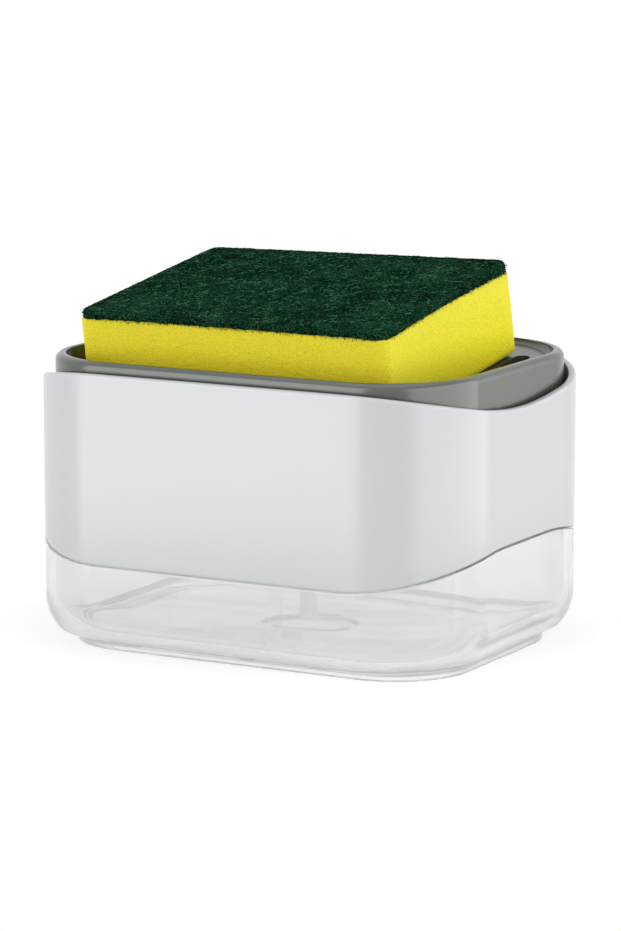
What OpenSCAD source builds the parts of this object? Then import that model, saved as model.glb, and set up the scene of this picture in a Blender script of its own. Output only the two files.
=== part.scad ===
// A sink-side soap caddy. A clear tank holds dish soap, a white sleeve carries the deck and the pump,
// and a grey tray with a sponge on it is pressed down to bring soap up through the middle of the tray.
// The origin is on the table under the middle of the foot ring. X runs along the long side, Z is up.

/* [Body] */
// Length of the body
body_w = 140; // [125:1:180]
// Depth of the body
body_d = 112.7; // [100:0.1:140]
// Corner radius of the body, seen from above
corner_r = 32; // [28:0.5:38]
// Height to the tray's lip
body_h = 84.8; // [82:0.1:96]

/* [Tank] */
// Wall of the clear tank
tank_wall = 3.2; // [2.8:0.1:4]
// Height of the foot at the long sides
foot_h = 2.4; // [2:0.1:4]
// How far the foot stands in at the short sides
foot_side_inset = 7.5; // [6:0.5:12]
// How far the foot stands in at the long sides
foot_long_inset = 11.5; // [9:0.5:14]
// Corner radius of the foot
foot_r = 23.5; // [16:0.5:28]
// Width of the ring that the foot stands on
foot_t = 2.4; // [1.6:0.1:4]
// Depth of the recess inside that ring
foot_recess_h = 1.4; // [0.8:0.1:2]
// Rise of the underside from the foot at the long sides to the tank's lower edge
base_rise = 2.2; // [1:0.1:3]
// Radius of the tank's rounded lower edge
base_r = 14.3; // [12:0.1:18]
// Part of that round, as a height, that lies above its lower end
base_round_h = 9.5; // [7:0.1:11]
// Thickness of the tank's floor
tank_floor_t = 2.8; // [2:0.1:4]
// Radius of the round recess in the floor under the dip tube
sump_r = 13.5; // [8:0.5:18]
// Depth of that recess
sump_depth = 0.9; // [0.5:0.1:1.4]
// Height of the parting line along the long sides
parting_z = 27.1; // [22:0.1:34]
// How far the parting line rises to the short sides
parting_rise = 8.4; // [4:0.1:12]
// Open line between the sleeve and the tank's shoulder
parting_gap = 0.35; // [0.3:0.05:0.8]
// Height of the neck above the highest point of the parting line
neck_overlap = 7.1; // [5:0.1:12]

/* [Sleeve] */
// Wall of the sleeve above the deck
sleeve_wall = 2.2; // [1.8:0.1:2.6]
// Wall of the sleeve below the deck, where it goes over the tank's neck
sleeve_lip_t = 1.4; // [1.2:0.1:1.6]
// How far the top edge dips at the short sides
top_dip = 8.3; // [4:0.1:10]

/* [Deck] */
// Thickness of the deck plate
deck_t = 2.4; // [1.8:0.1:3]
// Depth of the deck's plug inside the neck
plug_h = 5.5; // [4:0.1:8]
// Thickness of the plug's wall
plug_t = 1.6; // [1.2:0.1:2.4]
// Thickness of the seal between the neck and the deck
seal_t = 1.2; // [0.8:0.1:2]
// Wall of the turret
turret_wall = 5; // [4:0.1:6]
// Distance of the guide posts from the middle
post_x = 46; // [36:0.5:52]
// Radius of a guide post
post_r = 2.5; // [2:0.1:3.5]
// Wall of a guide socket
socket_wall = 1.8; // [1.2:0.1:2.4]
// Height of a guide socket above the deck
guide_h = 13.7; // [12:0.1:16]
// Thickness of the deck's stiffening ribs
rib_t = 1.6; // [1:0.1:2.4]
// Height of the deck's stiffening ribs
deck_rib_h = 3; // [2:0.1:5]

/* [Tray] */
// Space between the sleeve and the tray
tray_gap = 1.3; // [1:0.05:2]
// Wall of the tray
tray_wall = 3; // [2.8:0.1:3.6]
// Outer radius of the tray's lip
lip_r = 2.2; // [1.6:0.1:2.2]
// Inner radius of the tray's lip
lip_in_r = 0.6; // [0.3:0.1:0.6]
// How far the lip stands above the sleeve's long edges
lip_proud = 2.9; // [2:0.1:5]
// Drop from the lip to the middle of the floor
floor_drop = 8.7; // [8.6:0.1:12]
// Slope of the floor, in degrees, low at the front
floor_tilt = 8.6; // [6:0.1:8.8]
// Thickness of the tray's floor
tray_floor_t = 2; // [1.6:0.1:2.6]
// Depth of the tray's wall below the lip
skirt_h = 20.9; // [19:0.1:23]
// Width of a drain slot
slot_w = 5; // [3:0.1:6]
// Length of a drain slot
slot_l = 13; // [8:0.5:18]
// Distance from the short wall to the middle of its drain slots
side_slot_in = 12.7; // [8:0.1:13]
// Distance from the long wall to the middle of its drain slots
long_slot_in = 4.4; // [3.5:0.1:8]
// Radius of the well round the soap outlet
well_r = 8; // [6:0.1:9]
// Depth of that well below the middle of the floor
well_depth = 2.4; // [2.2:0.1:3]
// Thickness of the outlet cap
cap_t = 1; // [0.6:0.1:1]
// Height of the ribs under the tray's floor
tray_rib_h = 2.5; // [1.5:0.1:3]

/* [Pump] */
// How far the tray goes down
stroke = 8; // [6:0.1:9]
// Inner radius of the pump cylinder
bore_r = 6.3; // [6:0.1:7]
// Wall of the pump cylinder
cylinder_wall = 1.3; // [1:0.1:1.6]
// Thickness of the cylinder's flange
flange_t = 1.5; // [1.2:0.1:2]
// Thickness of the gasket under that flange
gasket_t = 1; // [0.6:0.1:1.6]
// Thickness of the closure's wall
closure_wall = 1.9; // [1.6:0.1:2.4]
// Thickness of the closure's top
closure_top_t = 1.5; // [1.2:0.1:2]
// Space between the closure and the deck
closure_lift = 2; // [1:0.1:2.6]
// Outer radius of the stem
stem_r = 3.5; // [3:0.1:3.8]
// Inner radius of the stem
stem_bore_r = 1.5; // [1.2:0.1:1.7]
// Thickness of the stem's stop flange
stop_t = 1.2; // [1:0.1:1.6]
// Height of the piston
piston_h = 4; // [3:0.1:5]
// How far the piston slips on the stem to open the ports
piston_slip = 1; // [0.6:0.1:1.4]
// Thickness of the piston seat's head
seat_t = 1.8; // [1.2:0.1:2.4]
// Wire diameter of the spring
wire_d = 0.9; // [0.7:0.05:1]
// Turns of the spring
spring_turns = 5; // [4:1:6]
// Radius to the middle of the spring's wire
spring_r = 4.6; // [4.3:0.1:4.8]
// Radius of the inlet ball
inlet_ball_r = 2; // [1.9:0.05:2.2]
// Lift of the inlet ball
inlet_lift = 1.5; // [1:0.1:1.6]
// Radius of the outlet ball
outlet_ball_r = 1.8; // [1.7:0.05:1.9]
// Lift of the outlet ball
outlet_lift = 1.1; // [0.8:0.1:1.1]
// Outer radius of the dip tube
tube_r = 2.5; // [2.2:0.1:3.2]
// Wall of the dip tube
tube_wall = 0.8; // [0.6:0.1:1]
// Space between the dip tube and the tank's floor
tube_gap = 1.4; // [1:0.1:3]

/* [Sponge] */
// Length of the sponge
sponge_l = 99.5; // [80:0.5:105]
// Depth of the sponge
sponge_d = 77; // [60:0.5:84]
// Thickness of the foam
foam_t = 24.2; // [18:0.1:32]
// Thickness of the scouring pad
pad_t = 3.3; // [2:0.1:6]
// Corner radius of the sponge
sponge_r = 2; // [1:0.1:6]
// How far the sponge lies to the left of the middle
sponge_shift = 3; // [0:0.5:6]

/* [Hidden] */
$fn = 72;

// Overrun of cuts
over = 1;
// Clearances: pieces that fit each other, pieces that slide, and pieces that turn or seal
fit_gap = 0.1;
slide_gap = 0.3;
run_gap = 0.05;
// Steps of the wavy edges from the middle of a short side to a long side
wave_steps = 20;
// Share of the way to the middle of the short side in which the parting line has risen
parting_rise_share = 0.83;

// Tank, from the table up
floor_z = foot_recess_h + tank_floor_t;
edge_z = foot_h + base_rise;
base_arc_z = edge_z + base_round_h;
parting_top = parting_z + parting_rise;
neck_top = parting_top + neck_overlap;
neck_inset = sleeve_lip_t + fit_gap * 2;

// Deck and its pump turret
deck_z = neck_top + fit_gap + seal_t;
deck_top = deck_z + deck_t;
deck_inset = sleeve_lip_t + fit_gap;
plug_inset = tank_wall + slide_gap;
cylinder_r = bore_r + cylinder_wall;
turret_bore_r = cylinder_r + slide_gap;
turret_r = turret_bore_r + turret_wall;
guide_top = deck_top + guide_h;
socket_r = post_r + slide_gap;

// Tray and stem, from the lip down. A ball rests on a cone of 45 degrees.
ball_ratio = sqrt(2);
lip_z = body_h;
floor_mid = lip_z - floor_drop;
skirt_z = lip_z - skirt_h;
sleeve_top = lip_z - lip_proud;
well_z = floor_mid - well_depth;
outlet_ball_z = well_z - slide_gap - outlet_lift - outlet_ball_r;
outlet_cone_h = 0.8;
outlet_gap = 0.5;
outlet_chamber_r = outlet_ball_r + outlet_gap;
stem_top = outlet_ball_z - (outlet_ball_r + run_gap) * ball_ratio + stem_bore_r + outlet_cone_h;
hub_socket_h = 4.3;
hub_wall = 2;
hub_z = stem_top - hub_socket_h;
hub_r = stem_r + hub_wall;
hub_plate_t = 1.8;
hub_plate_r = well_r + tray_floor_t;
post_z = deck_top + stroke + slide_gap * 2;
cap_holes = 3;
cap_hole_share = 0.25;
cap_ring_share = 0.6;

// Pump head, down to the turret
collar_h = 1;
collar_t = 2.1;
collar_r = stem_r + collar_t;
chaplet_top = hub_z - slide_gap - stroke;
closure_top = chaplet_top - collar_h;
cylinder_top = closure_top - closure_top_t;
flange_z = cylinder_top - flange_t;
turret_top = flange_z - gasket_t;
flange_r = turret_r - slide_gap * 2;
closure_z = deck_top + closure_lift;
closure_bore_r = turret_r + slide_gap;
closure_r = closure_bore_r + closure_wall;
rib_start = closure_r + slide_gap;
grip_count = 28;
grip_share = 0.25;
grip_r = closure_wall * grip_share;
chaplet_h = 3.4;
chaplet_z = cylinder_top - chaplet_h;
chaplet_flange_t = 1;
chaplet_flange_r = (bore_r + cylinder_r) / 2;

// Pump, from the chaplet down
stop_top = chaplet_z - slide_gap;
stop_z = stop_top - stop_t;
stop_r = (stem_r + bore_r) / 2;
piston_top = stop_z - slide_gap - piston_slip;
piston_z = piston_top - piston_h;
piston_r = bore_r - run_gap;
piston_waist_share = 0.84;
piston_lip_share = 0.3;
seat_top = piston_z - fit_gap;
seat_z = seat_top - seat_t;
seat_share = 0.8;
seat_r = bore_r * seat_share;
seat_spigot_h = wire_d * 2;
seat_spigot_r = spring_r - wire_d;
seat_shank_h = piston_h;
port_share = 0.6;
port_r = stem_bore_r * port_share;
port_z = piston_z + piston_h / 2;

// Spring, a wire of six sides from the cylinder's shoulder to the piston seat
spring_spare_turns = 1.5;
shoulder_z = seat_z - stroke - (spring_turns + spring_spare_turns) * wire_d;
spring_sides = 6;
spring_steps = 12;
spring_rings = spring_turns * spring_steps;
spring_low = shoulder_z + wire_d / 2 + run_gap;
spring_high = seat_z - wire_d / 2 - run_gap;
spring_pitch = (spring_high - spring_low) / spring_turns;
spring_slope = atan(spring_pitch / (2 * PI * spring_r));

// Foot valve at the bottom of the cylinder, and the dip tube
chamber_gap = 1.4;
chamber_r = inlet_ball_r + chamber_gap;
valve_bore_share = 0.8;
valve_bore_r = inlet_ball_r * valve_bore_share;
cone_h = chamber_r - valve_bore_r;
nib_h = cylinder_wall;
nib_z = shoulder_z - nib_h;
inlet_ball_z = nib_z - slide_gap - inlet_lift - inlet_ball_r;
valve_z = inlet_ball_z - (inlet_ball_r + run_gap) * ball_ratio + valve_bore_r;
tube_stop_t = cylinder_wall / 2;
tube_top = valve_z - tube_stop_t;
tube_socket_h = 4;
cylinder_z = tube_top - tube_socket_h;
tail_r = max(chamber_r, tube_r) + cylinder_wall;
tail_cone_h = cylinder_r - tail_r;
tube_z = floor_z + tube_gap;

// Tray in plan
tray_inset = sleeve_wall + tray_gap;
tray_in_inset = tray_inset + tray_wall;
tray_in_w = body_w - 2 * tray_in_inset;
tray_in_d = body_d - 2 * tray_in_inset;

// Places of the drain slots, as shares of the inside of the tray
side_slot_shares = [-0.31, 0, 0.31];
long_slot_shares = [-0.28, 0, 0.28];

// Length of the edge from the start of a corner to the middle of the short side
corner_path = corner_r * PI / 2;
side_path = corner_path + body_d / 2 - corner_r;

// How far in from the long side the outside of the body has come, s along that edge
function inward(s) = s < corner_path
    ? corner_r * (1 - cos(s / corner_path * 90))
    : corner_r + s - corner_path;

// A smooth rise from 0 to 1 over the length len
function ease(s, len) = (1 - cos(180 * min(s / len, 1))) / 2;

// A wavy edge in side view, at the height z at the long sides and z + rise at the short ones
function wave(z, rise, len) = [for (i = [-wave_steps : wave_steps])
    let (s = side_path * (1 - abs(i) / wave_steps))
    [sign(i) * (body_d / 2 - inward(s)), z + rise * ease(s, len)]];

function reversed(list) = [for (i = [len(list) - 1 : -1 : 0]) list[i]];

// Side view between two wavy edges, run a little past the long sides
function band(low, high) = concat(
    [[low[0][0] - over, low[0][1]]], low, [[-low[0][0] + over, low[0][1]]],
    [[-high[0][0] + over, high[0][1]]], reversed(high), [[high[0][0] - over, high[0][1]]]);

parting_line = wave(parting_z, parting_rise, side_path * parting_rise_share);
shoulder_line = wave(parting_z - parting_gap, parting_rise, side_path * parting_rise_share);
top_line = wave(sleeve_top, -top_dip, side_path);
ground_line = wave(0, 0, side_path);

// A prism along X with the given side view
module side_prism(points)
    rotate([90, 0, 90])
        linear_extrude(body_w + 2 * over, center = true)
            polygon(points);

// A rounded rectangle
module rounded(w, d, r) {
    square([w, d - 2 * r], center = true);
    square([w - 2 * r, d], center = true);
    for (x = [-1, 1], y = [-1, 1])
        translate([x * (w / 2 - r), y * (d / 2 - r)])
            circle(r);
}

// The body's outline, set in
module plan(inset)
    rounded(body_w - 2 * inset, body_d - 2 * inset, corner_r - inset);

// A prism on that outline
module prism(inset, low, high)
    translate([0, 0, low])
        linear_extrude(high - low)
            plan(inset);

// A wall that follows the outline
module wall(outer, inner, low, high)
    translate([0, 0, low])
        linear_extrude(high - low)
            difference() {
                plan(outer);
                plan(inner);
            }

// Carries a section round the outline. Its x is the distance out from the centre of a corner.
module around() {
    straight = [body_d - 2 * corner_r, body_w - 2 * corner_r];
    for (i = [0 : 3]) {
        turn = i * 90;
        rotate([0, 0, turn])
            translate([straight[(i + 1) % 2] / 2, 0, 0])
                rotate([90, 0, 0])
                    linear_extrude(straight[i % 2], center = true)
                        children();
        rotate([0, 0, turn])
            translate([straight[(i + 1) % 2] / 2, straight[i % 2] / 2, 0])
                rotate_extrude(angle = 90)
                    children();
    }
}

// Half section of a tank with a rounded lower edge, from the corner's centre out
module tank_section(inset, low, high)
    intersection() {
        union() {
            translate([corner_r - base_r, base_arc_z])
                circle(base_r - inset);
            square([corner_r - base_r, high]);
            translate([0, base_arc_z])
                square([corner_r - inset, high - base_arc_z]);
        }
        translate([0, low])
            square([corner_r, high - low]);
    }

module tank_form(inset, low, high) {
    around()
        tank_section(inset, low, high);
    translate([0, 0, (low + high) / 2])
        cube([body_w - 2 * corner_r, body_d - 2 * corner_r, high - low], center = true);
}

// Outside of the tank, whose underside slopes from its lower edge in to the foot
module tank_outside() {
    edge = corner_r - base_r + sqrt(base_r * base_r - base_round_h * base_round_h);
    foot = corner_r - foot_long_inset;
    slope = base_rise / (edge - foot);
    around()
        intersection() {
            tank_section(0, foot_h, parting_top);
            polygon([[0, foot_h], [foot, foot_h], [corner_r + over, foot_h + slope * (corner_r + over - foot)],
                [corner_r + over, parting_top], [0, parting_top]]);
        }
    translate([0, 0, (foot_h + parting_top) / 2])
        cube([body_w - 2 * corner_r, body_d - 2 * corner_r, parting_top - foot_h], center = true);
}

// The foot, or with an inset what lies inside it
module foot(inset, low, high)
    translate([0, 0, low])
        linear_extrude(high - low)
            rounded(body_w - 2 * (foot_side_inset + inset),
                body_d - 2 * (foot_long_inset + inset), foot_r - inset);

module tank()
    color([0.86, 0.88, 0.9, 0.4])
        difference() {
            union() {
                intersection() {
                    tank_outside();
                    side_prism(band(ground_line, shoulder_line));
                }
                wall(neck_inset, tank_wall + over, floor_z + base_r, neck_top);
                foot(0, 0, edge_z);
            }
            tank_form(tank_wall, floor_z, neck_top + over);
            foot(foot_t, -over, foot_recess_h);
            translate([0, 0, floor_z - sump_depth])
                cylinder(r = sump_r, h = sump_depth + over);
        }

module tank_seal()
    color("gainsboro")
        wall(neck_inset + fit_gap, plug_inset - run_gap, deck_z - seal_t, deck_z);

// The ring under the deck that centres it in the tank's neck
module deck_plug()
    color("whitesmoke")
        wall(plug_inset, plug_inset + plug_t, deck_z - plug_h, deck_z);

module sleeve()
    color([0.87, 0.88, 0.89])
        intersection() {
            union() {
                wall(0, sleeve_lip_t, 0, deck_top + over);
                wall(0, sleeve_wall, deck_top, sleeve_top);
            }
            side_prism(band(parting_line, top_line));
        }

module deck()
    color("whitesmoke")
        difference() {
            union() {
                prism(deck_inset, deck_z, deck_top);
                translate([0, 0, deck_z])
                    cylinder(r = turret_r, h = turret_top - deck_z);
                for (x = [-1, 1]) {
                    translate([x * post_x, 0, deck_z])
                        cylinder(r = socket_r + socket_wall, h = guide_top - deck_z);
                    translate([x * post_x, 0, deck_top + deck_rib_h / 2])
                        cube([rib_t, body_d - 4 * plug_inset, deck_rib_h], center = true);
                    translate([x * (rib_start + post_x) / 2, 0, deck_top + deck_rib_h / 2])
                        cube([post_x - rib_start, rib_t, deck_rib_h], center = true);
                }
            }
            translate([0, 0, deck_z - over])
                cylinder(r = turret_bore_r, h = turret_top - deck_z + 2 * over);
            for (x = [-1, 1])
                translate([x * post_x, 0, deck_top])
                    cylinder(r = socket_r, h = guide_h + over);
        }

// Half section of the pump cylinder's wall
module cylinder_section()
    polygon([
        [tube_r + run_gap, cylinder_z], [tail_r, cylinder_z],
        [tail_r, shoulder_z - cylinder_wall - tail_cone_h], [cylinder_r, shoulder_z - cylinder_wall],
        [cylinder_r, flange_z], [flange_r, flange_z], [flange_r, cylinder_top],
        [chaplet_flange_r, cylinder_top], [chaplet_flange_r, cylinder_top - chaplet_flange_t],
        [bore_r, cylinder_top - chaplet_flange_t], [bore_r, shoulder_z], [chamber_r, shoulder_z],
        [chamber_r, valve_z + cone_h], [valve_bore_r, valve_z], [valve_bore_r, tube_top],
        [tube_r + run_gap, tube_top]]);

module cylinder_body()
    color("white")
        union() {
            rotate_extrude()
                cylinder_section();
            // Nibs that keep the ball in its chamber
            for (a = [0 : 120 : 240])
                rotate([0, 0, a])
                    translate([valve_bore_r, -nib_h / 2, nib_z])
                        cube([chamber_r - valve_bore_r + cylinder_wall / 2, nib_h, nib_h]);
        }

module pump_gasket()
    color("dimgray")
        translate([0, 0, turret_top])
            linear_extrude(gasket_t)
                difference() {
                    circle(flange_r);
                    circle(turret_bore_r);
                }

module chaplet()
    color("gainsboro")
        rotate_extrude()
            polygon([
                [stem_r + run_gap, chaplet_z], [bore_r - run_gap, chaplet_z],
                [bore_r - run_gap, cylinder_top - chaplet_flange_t],
                [chaplet_flange_r - run_gap, cylinder_top - chaplet_flange_t],
                [chaplet_flange_r - run_gap, cylinder_top], [collar_r, cylinder_top],
                [collar_r, chaplet_top], [stem_r + run_gap, chaplet_top]]);

module closure()
    color("white")
        difference() {
            translate([0, 0, closure_z])
                cylinder(r = closure_r, h = closure_top - closure_z);
            translate([0, 0, closure_z - over])
                cylinder(r = closure_bore_r, h = cylinder_top - closure_z + over);
            translate([0, 0, cylinder_top - over])
                cylinder(r = collar_r + run_gap, h = closure_top_t + 2 * over);
            for (i = [1 : grip_count])
                rotate([0, 0, i * 360 / grip_count])
                    translate([closure_r, 0, closure_z - over])
                        cylinder(r = grip_r, h = cylinder_top - closure_z + over);
        }

module dip_tube()
    color([0.93, 0.94, 0.93])
        translate([0, 0, tube_z])
            linear_extrude(tube_top - tube_z)
                difference() {
                    circle(tube_r);
                    circle(tube_r - tube_wall);
                }

module inlet_ball()
    color("silver")
        translate([0, 0, inlet_ball_z])
            sphere(inlet_ball_r);

// Places what is drawn level so that it lies on the tray's sloping floor
module on_floor()
    translate([0, 0, floor_mid])
        rotate([floor_tilt, 0, 0])
            children();

// A slab below the middle of the floor's thickness, deep enough for what hangs under the floor
module below_floor()
    on_floor()
        translate([0, 0, -tray_floor_t / 2 - body_w / 2])
            cube([body_w, body_w, body_w], center = true);

// Section of the tray's wall with its rounded lip
module tray_wall_section() {
    outer = corner_r - tray_inset;
    inner = corner_r - tray_in_inset;
    translate([inner, skirt_z])
        square([tray_wall, skirt_h - lip_r]);
    translate([inner, skirt_z])
        square([tray_wall - lip_r, skirt_h - lip_in_r]);
    translate([inner + lip_in_r, skirt_z])
        square([tray_wall - lip_r - lip_in_r, skirt_h]);
    intersection() {
        union() {
            translate([outer - lip_r, lip_z - lip_r])
                circle(lip_r);
            translate([inner + lip_in_r, lip_z - lip_in_r])
                circle(lip_in_r);
        }
        translate([inner, skirt_z])
            square([tray_wall, skirt_h]);
    }
}

// A slot with round ends, along Y
module slot() {
    square([slot_w, slot_l - slot_w], center = true);
    for (y = [-1, 1])
        translate([0, y * (slot_l - slot_w) / 2])
            circle(slot_w / 2);
}

module drain_slots() {
    for (x = [-1, 1], share = side_slot_shares)
        translate([x * (tray_in_w / 2 - side_slot_in), share * tray_in_d])
            slot();
    for (y = [-1, 1], share = long_slot_shares)
        translate([share * tray_in_w, y * (tray_in_d / 2 - long_slot_in)])
            rotate(90)
                slot();
}

// The tray's wall with its lip, which the floor is set into
module tray_wall_ring()
    color([0.5, 0.51, 0.5])
        around()
            tray_wall_section();

// The tray's floor with the soap outlet's hub, the guide posts and the ribs under it
module tray()
    color([0.5, 0.51, 0.5])
        difference() {
            union() {
                intersection() {
                    prism(tray_in_inset + slide_gap, skirt_z, lip_z);
                    on_floor() {
                        translate([0, 0, -tray_floor_t / 2])
                            cube([body_w, body_w, tray_floor_t], center = true);
                        translate([0, 0, -tray_floor_t - tray_rib_h / 2]) {
                            cube([body_w, rib_t, tray_rib_h], center = true);
                            for (x = [-1, 1])
                                translate([x * post_x, 0, 0])
                                    cube([rib_t, body_w, tray_rib_h], center = true);
                        }
                    }
                }
                intersection() {
                    union() {
                        translate([0, 0, hub_z])
                            cylinder(r = hub_r, h = skirt_h);
                        translate([0, 0, well_z - hub_plate_t])
                            cylinder(r = hub_plate_r, h = skirt_h);
                        for (x = [-1, 1])
                            translate([x * post_x, 0, post_z])
                                cylinder(r = post_r, h = lip_z - post_z);
                    }
                    below_floor();
                }
            }
            translate([0, 0, well_z])
                cylinder(r = well_r, h = skirt_h);
            translate([0, 0, hub_z - over])
                cylinder(r = stem_r + run_gap, h = hub_socket_h + over);
            translate([0, 0, hub_z])
                cylinder(r = outlet_chamber_r, h = skirt_h);
            translate([0, 0, skirt_z])
                linear_extrude(skirt_h)
                    drain_slots();
        }

module nozzle_cap()
    color([0.5, 0.51, 0.5])
        translate([0, 0, well_z])
            difference() {
                cylinder(r = well_r - fit_gap, h = cap_t);
                for (i = [1 : cap_holes])
                    rotate([0, 0, i * 360 / cap_holes])
                        translate([outlet_chamber_r * cap_ring_share, 0, -over])
                            cylinder(r = outlet_chamber_r * cap_hole_share, h = cap_t + 2 * over);
            }

module stem()
    color("white")
        difference() {
            rotate_extrude()
                polygon([
                    [stem_bore_r, seat_top], [stem_r, seat_top], [stem_r, stop_z], [stop_r, stop_z],
                    [stop_r, stop_top], [stem_r, stop_top], [stem_r, stem_top],
                    [stem_bore_r + outlet_cone_h, stem_top], [stem_bore_r, stem_top - outlet_cone_h]]);
            translate([0, 0, port_z])
                rotate([0, 90, 0])
                    cylinder(r = port_r, h = 2 * (stem_r + over), center = true);
        }

module piston_seat()
    color("gainsboro")
        difference() {
            union() {
                translate([0, 0, seat_z])
                    cylinder(r = seat_r, h = seat_t);
                translate([0, 0, seat_z - seat_spigot_h])
                    cylinder(r = seat_spigot_r, h = seat_spigot_h);
                translate([0, 0, seat_top])
                    cylinder(r = stem_bore_r, h = seat_shank_h);
            }
            // Flats on the shank let the soap past it
            for (x = [-1, 1])
                translate([x * (stem_bore_r + port_r), 0, seat_top + (seat_shank_h + over) / 2])
                    cube([stem_bore_r, stem_bore_r * 2, seat_shank_h + over], center = true);
        }

module piston()
    color("lightgray")
        rotate_extrude()
            polygon([
                [stem_r + run_gap, piston_z], [piston_r, piston_z],
                [piston_r, piston_z + piston_h * piston_lip_share / 2],
                [piston_r * piston_waist_share, piston_z + piston_h * piston_lip_share],
                [piston_r * piston_waist_share, piston_top - piston_h * piston_lip_share],
                [piston_r, piston_top - piston_h * piston_lip_share / 2],
                [piston_r, piston_top], [stem_r + run_gap, piston_top]]);

module outlet_ball()
    color("silver")
        translate([0, 0, outlet_ball_z])
            sphere(outlet_ball_r);

function spring_axis(i) =
    let (a = i * 360 / spring_steps)
    [spring_r * cos(a), spring_r * sin(a), spring_low + spring_pitch * i / spring_steps];

function spring_ring(i) =
    let (a = i * 360 / spring_steps, middle = spring_axis(i))
    [for (k = [0 : spring_sides - 1])
        let (b = k * 360 / spring_sides, u = wire_d / 2 * cos(b), v = wire_d / 2 * sin(b))
        middle + u * [cos(a), sin(a), 0]
            + v * [sin(a) * sin(spring_slope), -cos(a) * sin(spring_slope), cos(spring_slope)]];

spring_points = [for (i = [0 : spring_rings]) each spring_ring(i)];
spring_faces = concat(
    [for (k = [1 : spring_sides - 2]) [0, k, k + 1]],
    [for (i = [0 : spring_rings - 1], k = [0 : spring_sides - 1])
        let (a = i * spring_sides + k, b = i * spring_sides + (k + 1) % spring_sides)
        each [[a, a + spring_sides, b + spring_sides], [a, b + spring_sides, b]]],
    [for (k = [1 : spring_sides - 2])
        let (a = spring_rings * spring_sides) [a, a + k + 1, a + k]]);

// Least gap between two turns of the wire, measured between its middle points
spring_gap = min([for (i = [0 : spring_rings], j = [i + spring_steps / 2 : spring_rings])
    norm(spring_axis(j) - spring_axis(i))]) - wire_d;
echo(spring_gap = spring_gap);

module spring()
    color("silver")
        polyhedron(spring_points, spring_faces);

module sponge()
    color("yellow")
        on_floor()
            translate([-sponge_shift, 0, slide_gap])
                linear_extrude(foam_t)
                    rounded(sponge_l, sponge_d, sponge_r);

module scour_pad()
    color("darkgreen")
        on_floor()
            translate([-sponge_shift, 0, slide_gap + foam_t])
                linear_extrude(pad_t)
                    rounded(sponge_l, sponge_d, sponge_r);

tank();
tank_seal();
sleeve();
deck();
deck_plug();
cylinder_body();  // cylinder
pump_gasket();
chaplet();
closure();
dip_tube();
inlet_ball();
tray();
tray_wall_ring();  // tray_wall
nozzle_cap();
stem();
piston_seat();
piston();
outlet_ball();
spring();
sponge();
scour_pad();
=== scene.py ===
import math
import random

import bmesh
import bpy
from mathutils import Matrix, Vector, noise


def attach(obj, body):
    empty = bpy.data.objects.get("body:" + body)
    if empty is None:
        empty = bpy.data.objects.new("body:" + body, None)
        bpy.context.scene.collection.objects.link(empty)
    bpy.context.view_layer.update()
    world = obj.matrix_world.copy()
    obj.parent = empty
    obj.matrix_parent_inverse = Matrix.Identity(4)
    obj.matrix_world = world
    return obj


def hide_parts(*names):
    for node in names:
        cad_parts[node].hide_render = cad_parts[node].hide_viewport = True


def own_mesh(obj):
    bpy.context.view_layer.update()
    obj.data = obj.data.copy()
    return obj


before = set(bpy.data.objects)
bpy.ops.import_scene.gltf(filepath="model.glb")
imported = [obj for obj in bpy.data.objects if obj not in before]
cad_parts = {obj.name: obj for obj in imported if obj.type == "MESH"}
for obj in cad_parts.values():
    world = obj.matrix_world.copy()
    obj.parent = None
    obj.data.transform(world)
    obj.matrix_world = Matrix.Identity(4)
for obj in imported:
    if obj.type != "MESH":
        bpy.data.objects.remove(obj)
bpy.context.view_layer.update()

MM = 0.001
QUARTER = math.pi / 2

# Body, in millimetres, with the same values as part.scad
BODY_W, BODY_D, CORNER_R = 140.0, 112.7, 32.0
SLEEVE_TOP, TOP_DIP = 81.9, 8.3
PARTING_Z, PARTING_RISE, PARTING_SHARE, PARTING_GAP = 27.1, 8.4, 0.83, 0.35
DECK_TOP = 46.3
SLEEVE_WALL, SLEEVE_LIP = 2.2, 1.4

# Small rounds on the sleeve's edges
SLEEVE_LOW_R, SLEEVE_LOW_IN_R, SLEEVE_TOP_R, SLEEVE_TOP_IN_R, SLEEVE_STEP_R = 0.45, 0.3, 0.8, 0.5, 0.15

# Tank: wall and neck, rounded lower edge, foot ring and the recess under it, floor and sump
TANK_WALL, NECK_INSET, NECK_TOP = 3.2, 1.6, 42.6
BASE_R, BASE_ARC_Z, EDGE_Z = 14.3, 14.1, 4.6
FOOT_W, FOOT_D, FOOT_R = 125.0, 89.7, 23.5
FOOT_H, FOOT_T, FOOT_INSET, RECESS_H = 2.4, 2.4, 11.5, 1.4
FLOOR_Z, SUMP_R, SUMP_Z = 4.2, 13.5, 3.3
DISC_R, DISC_H = 10.2, 0.2

# Small rounds on the tank's edges
RIM_R, NOOK_R, SHOULDER_R = 0.5, 0.25, 0.4
FOOT_EDGE, SUMP_EDGE, WALL_START = 0.4, 0.5, 1.0

# Tray
TRAY_IN_INSET, TRAY_SEAM = 6.5, 0.3
FLOOR_MID, FLOOR_TILT = 76.1, math.radians(8.6)
FILLET_R, FILLET_SUNK, FILLET_STEPS = 1.3, 0.05, 6

# Sponge, lying on the tray's sloping floor
SPONGE_L, SPONGE_D, FOAM_R, PAD_R = 99.5, 77.0, 2.6, 3.7
FOAM_T, PAD_T, SPONGE_LIFT, SPONGE_SHIFT = 24.2, 3.3, 0.3, 3.0
PAD_LOW = SPONGE_LIFT + FOAM_T
PAD_TOP = PAD_LOW + PAD_T

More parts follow.
